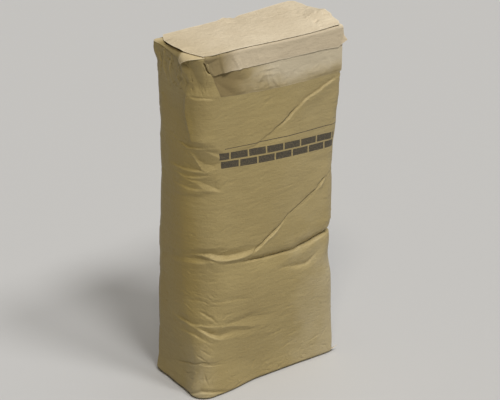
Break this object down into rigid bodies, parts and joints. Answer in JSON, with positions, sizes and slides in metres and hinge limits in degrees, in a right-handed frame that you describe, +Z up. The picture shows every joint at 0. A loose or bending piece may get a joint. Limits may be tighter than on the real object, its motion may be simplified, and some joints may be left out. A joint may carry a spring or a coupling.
{
  "type": "cement bag",
  "caption": "Block-bottom paper valve sack full of cement, standing upright, with closing flaps folded down over its front and a cover sheet on each end.",
  "frame": {"origin": "middle of the lower end, on the floor that the sack stands on", "axes": "+Z up the sack, X along its width with the filling valve on the -X side, Y through its depth with the flap side facing -Y"},
  "size_m": [0.2866, 0.1562, 0.6],
  "materials": {
    "tube_paper": "smooth brown kraft paper with a soft sheen and fine ripples",
    "cover_paper": "pale unglazed kraft paper, matt and fibrous",
    "powder": "fine grey cement powder, matt"
  },
  "bodies": {
    "root": {"cement_fill": "powder", "paper_tube": "tube_paper", "under_flap": "cover_paper", "outer_flap": "cover_paper", "valve_sleeve": "cover_paper", "top_cover_sheet": "cover_paper", "base_cover_sheet": "cover_paper"}
  },
  "joints": []
}
